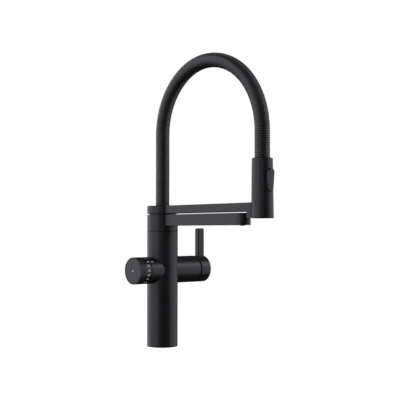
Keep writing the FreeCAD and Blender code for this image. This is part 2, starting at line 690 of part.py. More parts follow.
# Filtered-water spout
def filter_spout():
    collar = rod_z(BODY_RADIUS, COLLAR_BOTTOM, COLLAR_TOP)
    arm = box((-HALF_ARM, -SPOUT_REACH, SPOUT_BOTTOM), (HALF_ARM, 0.0, COLLAR_TOP))
    tip = rod_z(HALF_ARM, SPOUT_BOTTOM, COLLAR_TOP, 0.0, -SPOUT_REACH)
    spout = collar.fuse([arm, tip]).removeSplitter()
    rims = flat_edges(spout, 2, COLLAR_TOP) + flat_edges(spout, 2, COLLAR_BOTTOM)
    under = [e for e in flat_edges(spout, 2, SPOUT_BOTTOM) if e.BoundBox.YMin < -BODY_RADIUS]
    spout = spout.makeFillet(ARM_EDGE, rims + under)
    groove_half = COLLAR_GROOVE_HEIGHT / 2
    groove_radius = POST_RADIUS + COLLAR_GROOVE_DEPTH
    channel_end = -groove_radius + SPOUT_CHANNEL_LAP
    socket_top = AERATOR_TOP + AERATOR_SEAL
    cuts = [
        rod_z(POST_RADIUS + RUN, COLLAR_BOTTOM, COLLAR_TOP),
        rod_z(groove_radius, FILTER_PORT_HEIGHT - groove_half, FILTER_PORT_HEIGHT + groove_half),
        rod_y(SPOUT_CHANNEL_RADIUS, -SPOUT_REACH, channel_end, 0.0, SPOUT_MIDDLE),
        rod_z(AERATOR_BORE, SPOUT_BOTTOM, SPOUT_MIDDLE, 0.0, -SPOUT_REACH),
        rod_z(AERATOR_RADIUS + FIT, SPOUT_BOTTOM, socket_top, 0.0, -SPOUT_REACH),
    ]
    return spout.cut(cuts)


def aerator_housing():
    return ring_z(AERATOR_RADIUS, AERATOR_BORE, AERATOR_BOTTOM, AERATOR_TOP, 0.0, -SPOUT_REACH)


def aerator_seal():
    top = AERATOR_TOP + AERATOR_SEAL
    return ring_z(AERATOR_RADIUS, AERATOR_BORE, AERATOR_TOP, top, 0.0, -SPOUT_REACH)


def aerator_screen():
    low = AERATOR_BOTTOM + SCREEN_RECESS
    high = low + SCREEN_HEIGHT
    screen = rod_z(AERATOR_BORE - FIT, low, high, 0.0, -SPOUT_REACH)
    holes = [rod_z(SCREEN_HOLE_RADIUS, low, high, 0.0, -SPOUT_REACH)]
    for step in range(SCREEN_HOLES):
        x, y = on_circle(SCREEN_HOLE_CIRCLE, step * 360.0 / SCREEN_HOLES)
        holes.append(rod_z(SCREEN_HOLE_RADIUS, low, high, x, y - SPOUT_REACH))
    return screen.cut(holes)


# Spray holder
def magnet_front():
    return HEAD_Y + SADDLE_RADIUS + MAGNET_RECESS


def saddle_hollow():
    """Room for the docked spray head, with the head's own taper."""
    low = head_radius(SADDLE_BOTTOM) + RUN
    high = head_radius(HUB_TOP) + RUN
    return Part.makeCone(low, high, HUB_TOP - SADDLE_BOTTOM, vec(0.0, HEAD_Y, SADDLE_BOTTOM), vec(0, 0, 1))


def holder_arm():
    hub = rod_z(BODY_RADIUS, HUB_BOTTOM, HUB_TOP)
    arm = box((-HALF_ARM, SADDLE_FRONT, HUB_BOTTOM), (HALF_ARM, 0.0, HUB_TOP))
    saddle = box((-HALF_ARM, SADDLE_FRONT, SADDLE_BOTTOM), (HALF_ARM, SADDLE_BACK, HUB_TOP))
    holder = hub.fuse([arm, saddle]).removeSplitter()
    rims = flat_edges(holder, 2, HUB_TOP) + flat_edges(holder, 2, HUB_BOTTOM)
    eased = [edge for edge in rims if edge.BoundBox.YMax > SADDLE_BACK + ARM_EDGE]
    holder = holder.makeFillet(ARM_EDGE, eased)
    magnet_back = magnet_front() + MAGNET_LENGTH
    cuts = [
        rod_z(POST_RADIUS + RUN, HUB_BOTTOM, HUB_FLOOR),
        rod_z(HUB_CAVITY_RADIUS, HUB_FLOOR, HUB_CAP_BOTTOM),
        rod_z(HUB_CAP_RADIUS + FIT, HUB_CAP_BOTTOM, HUB_TOP),
        saddle_hollow(),
        rod_y(MAGNET_RADIUS + FIT, HEAD_Y, magnet_back, 0.0, HUB_MIDDLE),
    ]
    return holder.cut(cuts)


def holder_magnet():
    front = magnet_front()
    return rod_y(MAGNET_RADIUS, front, front + MAGNET_LENGTH, 0.0, HUB_MIDDLE)


def hub_cap():
    return ring_z(HUB_CAP_RADIUS, HOSE_RADIUS + FIT, HUB_CAP_BOTTOM, HUB_TOP)


def hose_nipple():
    stem_bottom = NIPPLE_FLANGE_BOTTOM - NIPPLE_LENGTH
    nipple = rod_z(NIPPLE_RADIUS, stem_bottom, HUB_CAP_BOTTOM)
    nipple = nipple.fuse(rod_z(HOSE_RADIUS + NIPPLE_LIP, NIPPLE_FLANGE_BOTTOM, HUB_CAP_BOTTOM))
    bore = rod_z(NIPPLE_RADIUS - NIPPLE_WALL, stem_bottom, HUB_CAP_BOTTOM)
    groove = seal_groove_z(POST_BORE, NIPPLE_SEAL_THICKNESS, NIPPLE_FLANGE_BOTTOM - NIPPLE_SEAL_DROP)
    return nipple.cut([bore, groove])


def nipple_seal():
    return seal_z(POST_BORE, NIPPLE_SEAL_THICKNESS, NIPPLE_FLANGE_BOTTOM - NIPPLE_SEAL_DROP)


# Hose: up from the hub, over in two quarter bends and down to the spray head, all in the plane x = 0
def hose_place(distance):
    """Where the hose's middle is at this distance along it, and how far it has turned from straight up."""
    rear_bend = math.pi / 2 * HOSE_REAR_BEND
    front_bend = math.pi / 2 * HOSE_FRONT_BEND
    if distance <= HOSE_REAR_LEG:
        return 0.0, HOSE_START + distance, 0.0
    distance -= HOSE_REAR_LEG
    if distance <= rear_bend:
        turn = distance / HOSE_REAR_BEND
        y = -HOSE_REAR_BEND * (1 - math.cos(turn))
        return y, HOSE_APEX - HOSE_REAR_BEND * (1 - math.sin(turn)), turn
    distance -= rear_bend
    if distance <= front_bend:
        turn = distance / HOSE_FRONT_BEND
        y = -HOSE_REAR_BEND - HOSE_FRONT_BEND * math.sin(turn)
        return y, HOSE_APEX - HOSE_FRONT_BEND * (1 - math.cos(turn)), math.pi / 2 + turn
    distance -= front_bend
    return HEAD_Y, HOSE_APEX - HOSE_FRONT_BEND - distance, math.pi


def hose_circle(distance, radius):
    """A circle round the hose's middle, square to it, starting on the +X side."""
    y, z, turn = hose_place(distance)
    circle = Part.Wire(Part.makeCircle(radius))
    rotation = FreeCAD.Rotation(vec(1, 0, 0), math.degrees(turn))
    circle.Placement = FreeCAD.Placement(vec(0.0, y, z), rotation)
    return circle


def hose_path():
    rear_top = vec(0.0, 0.0, HOSE_APEX - HOSE_REAR_BEND)
    apex = vec(0.0, -HOSE_REAR_BEND, HOSE_APEX)
    front_top = vec(0.0, HEAD_Y, HOSE_APEX - HOSE_FRONT_BEND)
    half = math.sqrt(0.5)
    rear_middle = vec(
        0.0,
        -HOSE_REAR_BEND * (1 - half),
        HOSE_APEX - HOSE_REAR_BEND * (1 - half),
    )
    front_middle = vec(
        0.0,
        -HOSE_REAR_BEND - HOSE_FRONT_BEND * half,
        HOSE_APEX - HOSE_FRONT_BEND * (1 - half),
    )
    return Part.Wire(
        [
            Part.LineSegment(vec(0.0, 0.0, HOSE_START), rear_top).toShape(),
            Part.Arc(rear_top, rear_middle, apex).toShape(),
            Part.Arc(apex, front_middle, front_top).toShape(),
            Part.LineSegment(front_top, vec(0.0, HEAD_Y, HOSE_END)).toShape(),
        ]
    )


def hose_core(radius):
    """A plain solid of this radius along the whole hose."""
    return hose_path().makePipe(Part.Face(hose_circle(0.0, radius)))


def spray_hose():
    pitch = HOSE_LENGTH / RIB_COUNT
    circles = []
    for rib in range(RIB_COUNT):
        for share, in_groove in RIB_PROFILE:
            radius = HOSE_RADIUS - RIB_DEPTH if in_groove else HOSE_RADIUS
            circles.append(hose_circle((rib + share) * pitch, radius))
    circles.append(hose_circle(HOSE_LENGTH, HOSE_RADIUS - RIB_DEPTH))
    return Part.makeLoft(circles, True, True).cut(hose_core(HOSE_BORE))


def inner_hose():
    outer = HOSE_BORE - INNER_HOSE_GAP
    tube = hose_core(outer).cut(hose_core(outer - INNER_HOSE_WALL))
    expected = math.pi * (outer**2 - (outer - INNER_HOSE_WALL) ** 2) * HOSE_LENGTH
    print("hose length", round(HOSE_LENGTH, 1), "bends", HOSE_REAR_BEND, round(HOSE_FRONT_BEND, 1))
    print("inner hose volume against section times length", round(tube.Volume / expected, 5))
    return tube


# Spray head
def head_radius(z):
    share = (z - HEAD_FOOT) / HEAD_LENGTH
    return HEAD_FOOT_RADIUS + (HEAD_TOP_RADIUS - HEAD_FOOT_RADIUS) * share


def head_rod(radius, low, high):
    return rod_z(radius, low, high, 0.0, HEAD_Y)


def head_ring(outer, inner, low, high):
    return ring_z(outer, inner, low, high, 0.0, HEAD_Y)


def stadium(margin, front, back):
    """The rocker's outline, grown by a margin, from one distance in front of the head's axis to another."""
    half = ROCKER_WIDTH / 2 + margin
    straight = ROCKER_HEIGHT / 2 - ROCKER_WIDTH / 2
    middle = box(
        (-half, HEAD_Y - front, ROCKER_Z - straight),
        (half, HEAD_Y - back, ROCKER_Z + straight),
    )
    ends = [
        rod_y(half, HEAD_Y - front, HEAD_Y - back, 0.0, ROCKER_Z + side * straight) for side in (-1, 1)
    ]
    return middle.fuse(ends).removeSplitter()


def hose_ferrule():
    stem_bottom = FERRULE_BOTTOM - FERRULE_STEM_LENGTH
    ferrule = head_rod(HEAD_BORE - FERRULE_GAP, FERRULE_BOTTOM, FERRULE_TOP)
    ferrule = ferrule.fuse(head_rod(HOSE_RADIUS, FERRULE_TOP, HEAD_TOP))
    ferrule = ferrule.fuse(head_rod(FERRULE_STEM_RADIUS, stem_bottom, FERRULE_BOTTOM))
    bore = head_rod(WATERWAY_RADIUS, stem_bottom, HEAD_TOP)
    return ferrule.cut(bore)


def spray_shell():
    shell = Part.makeCone(
        HEAD_FOOT_RADIUS, HEAD_TOP_RADIUS, HEAD_LENGTH, vec(0.0, HEAD_Y, HEAD_FOOT), vec(0, 0, 1)
    )
    ends = flat_edges(shell, 2, HEAD_FOOT) + flat_edges(shell, 2, HEAD_TOP)
    shell = shell.makeFillet(HEAD_EDGE, ends)
    bore = head_rod(HEAD_BORE, HEAD_FOOT, HEAD_CEILING)
    neck = head_rod(HOSE_RADIUS + AIR, HEAD_CEILING, HEAD_TOP)
    window = stadium(ROCKER_GAP, 2 * HEAD_FOOT_RADIUS, ROCKER_INNER)
    return shell.cut([bore, neck, window])


def core_slot():
    """Room in the core for the rocker's back and for its tail."""
    half = ROCKER_WIDTH / 2 + ROCKER_GAP
    back = box(
        (-half, HEAD_Y - HEAD_BORE, ROCKER_FOOT - ROCKER_GAP),
        (half, HEAD_Y - ROCKER_SLOT, ROCKER_TOP + ROCKER_GAP),
    )
    tail_half = TAIL_WIDTH / 2 + AIR
    tail = box(
        (-tail_half, HEAD_Y - HEAD_BORE, SPOOL_TOP - SPOOL_TRAVEL),
        (tail_half, HEAD_Y + TAIL_OVERHANG + TAIL_ROOM, PIN_Z + TAIL_ROOM),
    )
    return [back, tail]


def spray_core():
    core = head_rod(CORE_RADIUS, FACE_TOP, CORE_TOP)
    check_valve_bottom = CORE_TOP - FERRULE_STEM_LENGTH - CHECK_VALVE_DROP - CHECK_VALVE_LENGTH
    cuts = core_slot() + [
        head_rod(CORE_BORE, check_valve_bottom, CORE_TOP),
        head_rod(WATERWAY_RADIUS, TAIL_TOP, check_valve_bottom),
        head_rod(SPOOL_RADIUS + RUN, SPOOL_BOTTOM - SPOOL_TRAVEL, SPOOL_TOP),
        head_rod(WATERWAY_RADIUS, FACE_TOP, SPOOL_BOTTOM),
        swivel_seal(),
        pin_shape(PIN_RADIUS + FIT),
        docking_plate(),
    ]
    return core.cut(cuts)


def check_valve():
    top = CORE_TOP - FERRULE_STEM_LENGTH - CHECK_VALVE_DROP
    return head_ring(FERRULE_STEM_RADIUS, CHECK_VALVE_BORE, top - CHECK_VALVE_LENGTH, top)


def swivel_seal():
    inner = SWIVEL_SEAL_RADIUS - SWIVEL_SEAL_WALL
    return head_ring(SWIVEL_SEAL_RADIUS, inner, CORE_TOP - SWIVEL_SEAL_HEIGHT, CORE_TOP)


def docking_plate():
    """A steel strip bent to the head's bore, behind the holder's magnet."""
    low = HEAD_FOOT + DOCK_PLATE_LIFT
    skin = head_ring(HEAD_BORE, HEAD_BORE - DOCK_PLATE_THICKNESS, low, low + DOCK_PLATE_HEIGHT)
    strip = box(
        (-DOCK_PLATE_WIDTH / 2, HEAD_Y, low),
        (DOCK_PLATE_WIDTH / 2, HEAD_Y + HEAD_BORE, low + DOCK_PLATE_HEIGHT),
    )
    return skin.common(strip)


def pin_shape(radius):
    return rod_x(radius, -PIN_LENGTH / 2, PIN_LENGTH / 2, PIN_Y, PIN_Z)


def button_pin():
    return pin_shape(PIN_RADIUS)


def nozzle_places():
    places = []
    for radius, count in NOZZLE_ROWS:
        for step in range(count):
            x, y = on_circle(radius, step * 360.0 / count)
            places.append((x, HEAD_Y + y))
    return places


def spray_face():
    face = head_ring(HEAD_BORE - FIT, JET_RADIUS, FACE_BOTTOM, FACE_TOP)
    holes = []
    for x, y in nozzle_places():
        holes.append(rod_z(NOZZLE_RADIUS + FIT, FACE_BOTTOM, FACE_TOP, x, y))
    return face.cut(holes)


def spray_nozzles():
    low = FACE_BOTTOM - NOZZLE_PROUD
    high = low + NOZZLE_LENGTH
    return Part.makeCompound([rod_z(NOZZLE_RADIUS, low, high, x, y) for x, y in nozzle_places()])


def jet_aerator():
    jet = head_rod(JET_RADIUS - FIT, FACE_BOTTOM, FACE_TOP)
    holes = [head_rod(JET_HOLE_RADIUS, FACE_BOTTOM, FACE_TOP)]
    for step in range(JET_HOLES):
        x, y = on_circle(JET_HOLE_CIRCLE, step * 360.0 / JET_HOLES)
        holes.append(rod_z(JET_HOLE_RADIUS, FACE_BOTTOM, FACE_TOP, x, HEAD_Y + y))
    return jet.cut(holes)


# Rocker and what it moves
def spray_button():
    front_top = head_radius(ROCKER_TOP) + ROCKER_TOP_PROUD
    front_foot = head_radius(ROCKER_FOOT) + ROCKER_FOOT_PROUD
    half = ROCKER_WIDTH / 2
    profile = Part.makePolygon(
        [
            vec(-half, HEAD_Y - ROCKER_INNER, ROCKER_FOOT),
            vec(-half, HEAD_Y - front_foot, ROCKER_FOOT),
            vec(-half, HEAD_Y - front_top, ROCKER_TOP),
            vec(-half, HEAD_Y - ROCKER_INNER, ROCKER_TOP),
            vec(-half, HEAD_Y - ROCKER_INNER, ROCKER_FOOT),
        ]
    )
    wedge = Part.Face(profile).extrude(vec(ROCKER_WIDTH, 0, 0))
    rocker = wedge.common(stadium(0.0, 2 * HEAD_FOOT_RADIUS, ROCKER_INNER)).removeSplitter()
    outer_face = min(rocker.Faces, key=lambda face: face.CenterOfMass.y)
    rocker = rocker.makeFillet(ROCKER_EDGE, outer_face.Edges)
    tail = box(
        (-TAIL_WIDTH / 2, HEAD_Y - ROCKER_INNER, TAIL_BOTTOM),
        (TAIL_WIDTH / 2, HEAD_Y + TAIL_OVERHANG, TAIL_TOP),
    )
    return rocker.fuse(tail).cut(pin_shape(PIN_RADIUS + RUN))


def diverter_spool():
    return head_rod(SPOOL_RADIUS, SPOOL_BOTTOM, SPOOL_TOP)


PIECES = {
    "base_gasket": base_gasket(),
    "base_plug": base_plug(),
    "body_shell": body_shell(),
    "hot_tube": supply_tube("hot"),
    "cold_tube": supply_tube("cold"),
    "filter_tube": supply_tube("filter"),
    "valve_manifold": valve_manifold(),
    "mixed_riser": mixed_riser(),
    "filter_riser": filter_riser(),
    "swivel_post": swivel_post(),
    "post_seals": post_seals(),
    "collar_washer": collar_washer(),
    "hub_washer": hub_washer(),
    "hub_nut": hub_nut(),
    "valve_housing": valve_housing(),
    "mixer_cartridge": mixer_cartridge(),
    "fixed_disc": fixed_disc(),
    "cartridge_nut": cartridge_nut(),
    "valve_gap_ring": valve_gap_ring(),
    "dial_boss": dial_boss(),
    "filter_headpart": filter_headpart(),
    "dial_glide_ring": dial_glide_ring(),
    "index_mark": index_dash(MARK_PROUD),
    "filter_spout": filter_spout(),
    "aerator_housing": aerator_housing(),
    "aerator_seal": aerator_seal(),
    "aerator_screen": aerator_screen(),
    "holder_arm": holder_arm(),
    "holder_magnet": holder_magnet(),
    "hub_cap": hub_cap(),
    "hose_nipple": hose_nipple(),
    "nipple_seal": nipple_seal(),
    "spray_hose": spray_hose(),
    "inner_hose": inner_hose(),
    "hose_ferrule": hose_ferrule(),
    "spray_shell": spray_shell(),
    "spray_core": spray_core(),
    "check_valve": check_valve(),
    "swivel_seal": swivel_seal(),
    "docking_plate": docking_plate(),
    "button_pin": button_pin(),
    "spray_face": spray_face(),
    "spray_nozzles": spray_nozzles(),
    "jet_aerator": jet_aerator(),
    "spray_button": spray_button(),
    "diverter_spool": diverter_spool(),
    "lever_cap": lever_cap(),
    "lever_bar": lever_bar(),
    "lever_stud": lever_stud(),
    "lever_grub_screw": lever_grub_screw(),
    "cartridge_stem": cartridge_stem(),
    "moving_disc": moving_disc(),
    "dial_ring": dial_ring(),
    "dial_spindle": dial_spindle(),
    "dial_marks": dial_marks(),
    "dial_button": dial_button(),
    "button_return_ring": button_return_ring(),
    "button_lens": button_lens(),
}

os.makedirs("parts", exist_ok=True)
for name, shape in PIECES.items():
    shape.exportStep("parts/" + name + ".step")
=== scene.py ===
import json
import math

import bpy
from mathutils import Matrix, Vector


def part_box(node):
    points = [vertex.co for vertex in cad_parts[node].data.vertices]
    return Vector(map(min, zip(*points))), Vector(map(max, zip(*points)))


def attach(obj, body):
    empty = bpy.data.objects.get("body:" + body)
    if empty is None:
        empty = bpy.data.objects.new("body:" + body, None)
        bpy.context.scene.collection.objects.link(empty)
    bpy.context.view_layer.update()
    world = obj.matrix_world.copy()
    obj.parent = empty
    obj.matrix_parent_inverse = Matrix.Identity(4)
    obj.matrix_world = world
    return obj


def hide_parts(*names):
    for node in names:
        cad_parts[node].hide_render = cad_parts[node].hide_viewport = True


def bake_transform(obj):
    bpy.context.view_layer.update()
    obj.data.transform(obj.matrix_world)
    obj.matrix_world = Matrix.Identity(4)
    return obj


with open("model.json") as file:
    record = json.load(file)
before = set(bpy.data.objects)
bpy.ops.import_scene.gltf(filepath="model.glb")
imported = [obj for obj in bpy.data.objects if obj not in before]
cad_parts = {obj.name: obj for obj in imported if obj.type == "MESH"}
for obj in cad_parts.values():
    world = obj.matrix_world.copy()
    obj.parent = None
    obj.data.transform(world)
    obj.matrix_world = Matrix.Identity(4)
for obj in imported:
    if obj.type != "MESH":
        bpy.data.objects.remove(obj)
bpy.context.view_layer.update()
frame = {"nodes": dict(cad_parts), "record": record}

# Three-way filtered water tap: finishes for the imported pieces, the ribbed hose, a thin black ring of painted
# shade in the seam under the lower arm, the soft ring behind the dial's button, the dial's numbers, and a plain
# studio with the photo's camera. All lengths are in metres, in the frame of the imported model.
MM = 0.001
QUARTER_TURN = math.pi / 2

# Camera of the photo, with its lens and sensor in millimetres
CAMERA_PLACE = (-0.8993, -1.0981, 0.1922)
CAMERA_AZIMUTH = math.radians(-41.89)
CAMERA_PITCH = math.radians(2.21)
CAMERA_LENS = 74.98
CAMERA_SENSOR = 36.0

# Hose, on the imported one's line: up from the holder, over an arch of two bends, down to the spray head
HOSE_RADIUS = 11.8 * MM
HOSE_START = 233.2 * MM
HOSE_END = 303.0 * MM
HOSE_APEX = 468.6 * MM
HOSE_REAR_BEND = 111.0 * MM
HOSE_FRONT_BEND = 124.1 * MM
HOSE_REAR_LEG = HOSE_APEX - HOSE_REAR_BEND - HOSE_START
HOSE_FRONT_LEG = HOSE_APEX - HOSE_FRONT_BEND - HOSE_END
HOSE_LENGTH = HOSE_REAR_LEG + HOSE_FRONT_LEG + QUARTER_TURN * (HOSE_REAR_BEND + HOSE_FRONT_BEND)
HOSE_SIDES = 48
RIB_COUNT = 150
RIB_PITCH = HOSE_LENGTH / RIB_COUNT
RIB_DEPTH = 0.75 * MM
# Each ring of a rib: its share of the rib's length, and its share of the groove's depth
RIB_PROFILE = ((0.0, 1.0), (0.1, 0.75), (0.24, 0.22), (0.5, 0.0), (0.76, 0.22), (0.9, 0.75))
# The narrow necks where the hose meets the holder and the spray head
NECK_DEPTH = 1.3 * MM
NECK_HALF = 0.5 * MM
NECKS = (RIB_PITCH, HOSE_LENGTH)

# Painted shade: a thin black ring in the seam between the column and the lower arm, flush with both, standing
# in for the seam's shade
SEAM_RADIUS = 26.0 * MM
SEAM_DEPTH = 0.5 * MM
SEAM_FOOT = 193.3 * MM
SEAM_TOP = 194.3 * MM
RING_SIDES = 128

# Soft ring behind the dial's push button
RETURN_RADIUS = 9.0 * MM
RETURN_WALL = 3.0 * MM
RETURN_BULGE = 0.4 * MM
RETURN_STEPS = 6

# Numbers round the dial, with their angles in degrees
DIAL_RADIUS = 22.4 * MM
DIAL_AXIS = 128.2 * MM
NUMBER_PLACE = -46.3 * MM
NUMBER_HEIGHT = 4.6 * MM
NUMBER_STROKE = 0.2 * MM
NUMBER_PROUD = 0.1 * MM
NUMBER_ZERO = 42.5
NUMBER_STEP = -20.0
NUMBERS = ("10", "20", "30", "40", "50", "60", "70", "80", "90")

# Grain of the finishes: most of a noise's values lie between the low and the high one
NOISE_LOW = 0.3
NOISE_HIGH = 0.7
CLOUD_DETAIL = 3.0
GRAIN_DETAIL = 2.0
BUMP_STRENGTH = 1.0
EVEN = (1.0, 1.0, 1.0)
BRUSHED = (1.0, 1.0, 0.05)

# Each finish: the two colours that its cloud goes between, its range of roughness, how many spots its cloud
# and its fine grain have to the metre, and the grain's depth
FINISH_VALUES = {
    "black_coat": dict(
        colours=((0.010, 0.010, 0.011), (0.014, 0.0138, 0.015)), roughness=(0.32, 0.42),
        cloud=35.0, fine=2600.0, depth=0.012 * MM,
    ),
    "black_plastic": dict(
        colours=((0.010, 0.010, 0.0105), (0.016, 0.016, 0.017)), roughness=(0.42, 0.55),
        cloud=60.0, fine=3200.0, depth=0.015 * MM,
    ),
    "button_plastic": dict(
        colours=((0.03, 0.03, 0.031), (0.042, 0.042, 0.044)), roughness=(0.34, 0.44),
        cloud=60.0, fine=3200.0, depth=0.012 * MM,
    ),
    "hose_rubber": dict(
        colours=((0.012, 0.012, 0.013), (0.02, 0.02, 0.021)), roughness=(0.34, 0.46),
        cloud=80.0, fine=3000.0, depth=0.012 * MM, specular=0.65,
    ),
    "inner_rubber": dict(
        colours=((0.05, 0.05, 0.055), (0.07, 0.07, 0.075)), roughness=(0.5, 0.65),
        cloud=80.0, fine=2500.0, depth=0.02 * MM,
    ),
    "seal_rubber": dict(
        colours=((0.012, 0.012, 0.012), (0.02, 0.02, 0.02)), roughness=(0.5, 0.68),
        cloud=90.0, fine=2500.0, depth=0.02 * MM,
    ),
    # Painted shade for the ring in the seam: near black, with little gloss
    "painted_seam_shade": dict(
        colours=((0.004, 0.004, 0.004), (0.007, 0.007, 0.007)), roughness=(0.5, 0.65),
        cloud=90.0, fine=2500.0, depth=0.01 * MM, specular=0.15,
    ),
    "brass": dict(
        colours=((0.72, 0.53, 0.25), (0.8, 0.62, 0.33)), roughness=(0.24, 0.4),
        cloud=45.0, fine=1800.0, depth=0.006 * MM, metallic=1.0, stretch=BRUSHED,
    ),
    "steel": dict(
        colours=((0.52, 0.52, 0.54), (0.64, 0.64, 0.66)), roughness=(0.22, 0.38),
        cloud=45.0, fine=1800.0, depth=0.006 * MM, metallic=1.0, stretch=BRUSHED,
    ),
    "ceramic": dict(
        colours=((0.8, 0.79, 0.75), (0.86, 0.85, 0.81)), roughness=(0.18, 0.28),
        cloud=60.0, fine=2500.0, depth=0.004 * MM,
    ),
    "white_print": dict(
        colours=((0.9, 0.9, 0.91), (0.95, 0.95, 0.96)), roughness=(0.42, 0.55),
        cloud=150.0, fine=4000.0, depth=0.006 * MM,
    ),
    "lens": dict(
        colours=((0.62, 0.62, 0.66), (0.72, 0.72, 0.76)), roughness=(0.1, 0.16),
        cloud=200.0, fine=3000.0, depth=0.002 * MM,
    ),
    "nozzle_rubber": dict(
        colours=((0.10, 0.10, 0.105), (0.13, 0.13, 0.135)), roughness=(0.5, 0.62),
        cloud=150.0, fine=3000.0, depth=0.015 * MM,
    ),
}
# Pieces with another look than their slot's: the rocker is paler, and of the ferrule only a dark rim shows
OWN_FINISHES = {"spray_button": "button_plastic", "hose_ferrule": "black_plastic"}

# Studio
TARGET = (0.0, -0.1, 0.24)
FLOOR_SIZE = 12.0
FLOOR_COLOUR = (0.5, 0.5, 0.5, 1.0)
FLOOR_ROUGHNESS = 0.9
FLOOR_GLOW = 1.0
BACKGROUND = (1.0, 1.0, 1.0, 1.0)
BACKGROUND_STRENGTH = 1.0
ROOM_STRENGTH = 0.025
LIGHT_TINT = (0.985, 0.97, 1.06)
# Each softbox: its name, place, width, height and brightness
SOFTBOXES = (
    ("left_softbox", (-1.42, 0.25, 0.55), 2.0, 2.25, 1.03),
    ("left_back_softbox", (-0.4, 1.32, 0.55), 1.7, 2.25, 1.18),
    ("left_high_softbox", (-0.38, 0.95, 1.24), 0.9, 0.6, 0.44),
    ("right_softbox", (0.94, -1.05, 0.87), 1.6, 0.6, 2.13),
    ("right_fill", (1.27, -0.84, -0.02), 2.4, 1.2, 0.87),
    ("top_softbox", (0.43, 0.37, 1.6), 0.8, 0.8, 0.63),
    ("top_front_softbox", (0.3, -0.4, 1.6), 0.8, 0.8, 0.84),
    ("front_softbox", (-1.11, -1.15, 0.5), 0.5, 0.4, 1.11),
)


# Finishes
def grain(tree, scale, detail, stretch=EVEN):
    """Noise that is fixed to the piece, with about so many spots to the metre."""
    place = tree.nodes.new("ShaderNodeTexCoord")
    mapping = tree.nodes.new("ShaderNodeMapping")
    mapping.inputs["Scale"].default_value = stretch
    noise = tree.nodes.new("ShaderNodeTexNoise")
    noise.inputs["Scale"].default_value = scale
    noise.inputs["Detail"].default_value = detail
    tree.links.new(place.outputs["Object"], mapping.inputs["Vector"])
    tree.links.new(mapping.outputs["Vector"], noise.inputs["Vector"])
    return noise.outputs[0]


def spread(tree, value, low, high):
    """Noise values, which lie round a half, spread over a range."""
    reach = tree.nodes.new("ShaderNodeMapRange")
    reach.inputs["From Min"].default_value = NOISE_LOW
    reach.inputs["From Max"].default_value = NOISE_HIGH
    reach.inputs["To Min"].default_value = low
    reach.inputs["To Max"].default_value = high
    tree.links.new(value, reach.inputs["Value"])
    return reach.outputs["Result"]


def blend_colours(tree, value, first, second):
    """The first colour where the value is nought, the second where it is one."""
    mix = tree.nodes.new("ShaderNodeMix")
    mix.data_type = "RGBA"
    mix.inputs["A"].default_value = (*first, 1.0)
    mix.inputs["B"].default_value = (*second, 1.0)
    tree.links.new(value, mix.inputs["Factor"])
    return mix.outputs["Result"]


def finish(name, colours, roughness, cloud, fine, depth, metallic=0.0, specular=0.5, stretch=EVEN):
    """A surface with a faint cloud in its colour, and a fine grain in its gloss and relief."""
    material = bpy.data.materials.new(name)
    material.use_nodes = True
    tree = material.node_tree
    shader = tree.nodes["Principled BSDF"]
    shader.inputs["Metallic"].default_value = metallic
    shader.inputs["Specular IOR Level"].default_value = specular
    broad = spread(tree, grain(tree, cloud, CLOUD_DETAIL), 0.0, 1.0)
    tree.links.new(blend_colours(tree, broad, *colours), shader.inputs["Base Color"])
    speckle = grain(tree, fine, GRAIN_DETAIL, stretch)
    tree.links.new(spread(tree, speckle, *roughness), shader.inputs["Roughness"])
    bump = tree.nodes.new("ShaderNodeBump")
    bump.inputs["Strength"].default_value = BUMP_STRENGTH
    bump.inputs["Distance"].default_value = depth
    tree.links.new(speckle, bump.inputs["Height"])
    tree.links.new(bump.outputs["Normal"], shader.inputs["Normal"])
    return material


FINISHES = {name: finish(name, **values) for name, values in FINISH_VALUES.items()}


def dress(thing, slot):
    thing.data.materials.clear()
    thing.data.materials.append(FINISHES[slot])


for subpart in frame["record"]["subparts"]:
    dress(frame["nodes"][subpart["node"]], subpart["material_slot"])
for node, own_finish in OWN_FINISHES.items():
    dress(frame["nodes"][node], own_finish)


# Meshes
def add_mesh(name, points, faces):
    mesh = bpy.data.meshes.new(name)
    mesh.from_pydata(points, [], faces)
    thing = bpy.data.objects.new(name, mesh)
    bpy.context.scene.collection.objects.link(thing)
    return thing


def hose_place(distance):
    """Where the hose's middle is at this distance along it, and how far it has turned from straight up."""
    rear_arc = QUARTER_TURN * HOSE_REAR_BEND
    front_arc = QUARTER_TURN * HOSE_FRONT_BEND
    if distance <= HOSE_REAR_LEG:
        return 0.0, HOSE_START + distance, 0.0
    distance -= HOSE_REAR_LEG
    if distance <= rear_arc:
        turn = distance / HOSE_REAR_BEND
        y = -HOSE_REAR_BEND * (1 - math.cos(turn))
        return y, HOSE_APEX - HOSE_REAR_BEND * (1 - math.sin(turn)), turn
    distance -= rear_arc
    if distance <= front_arc:
        turn = distance / HOSE_FRONT_BEND
        y = -HOSE_REAR_BEND - HOSE_FRONT_BEND * math.sin(turn)
        return y, HOSE_APEX - HOSE_FRONT_BEND * (1 - math.cos(turn)), QUARTER_TURN + turn
    distance -= front_arc
    return -HOSE_REAR_BEND - HOSE_FRONT_BEND, HOSE_APEX - HOSE_FRONT_BEND - distance, math.pi


def hose_ring(distance, radius):
    """Points round the hose's middle, square to it."""
    y, z, turn = hose_place(distance)
    ring = []
    for side in range(HOSE_SIDES):
        angle = 2 * math.pi * side / HOSE_SIDES
        out = radius * math.sin(angle)
        ring.append((radius * math.cos(angle), y + out * math.cos(turn), z + out * math.sin(turn)))
    return ring


def hose_points():
    """Rings of points along the hose, with a groove between ribs and a narrow neck near each end."""
    points = []
    for rib in range(RIB_COUNT):
        for share, groove in RIB_PROFILE:
            distance = (rib + share) * RIB_PITCH
            in_neck = any(abs(distance - neck) < NECK_HALF for neck in NECKS)
            points += hose_ring(distance, HOSE_RADIUS - (NECK_DEPTH if in_neck else groove * RIB_DEPTH))
    return points + hose_ring(HOSE_LENGTH, HOSE_RADIUS - NECK_DEPTH)


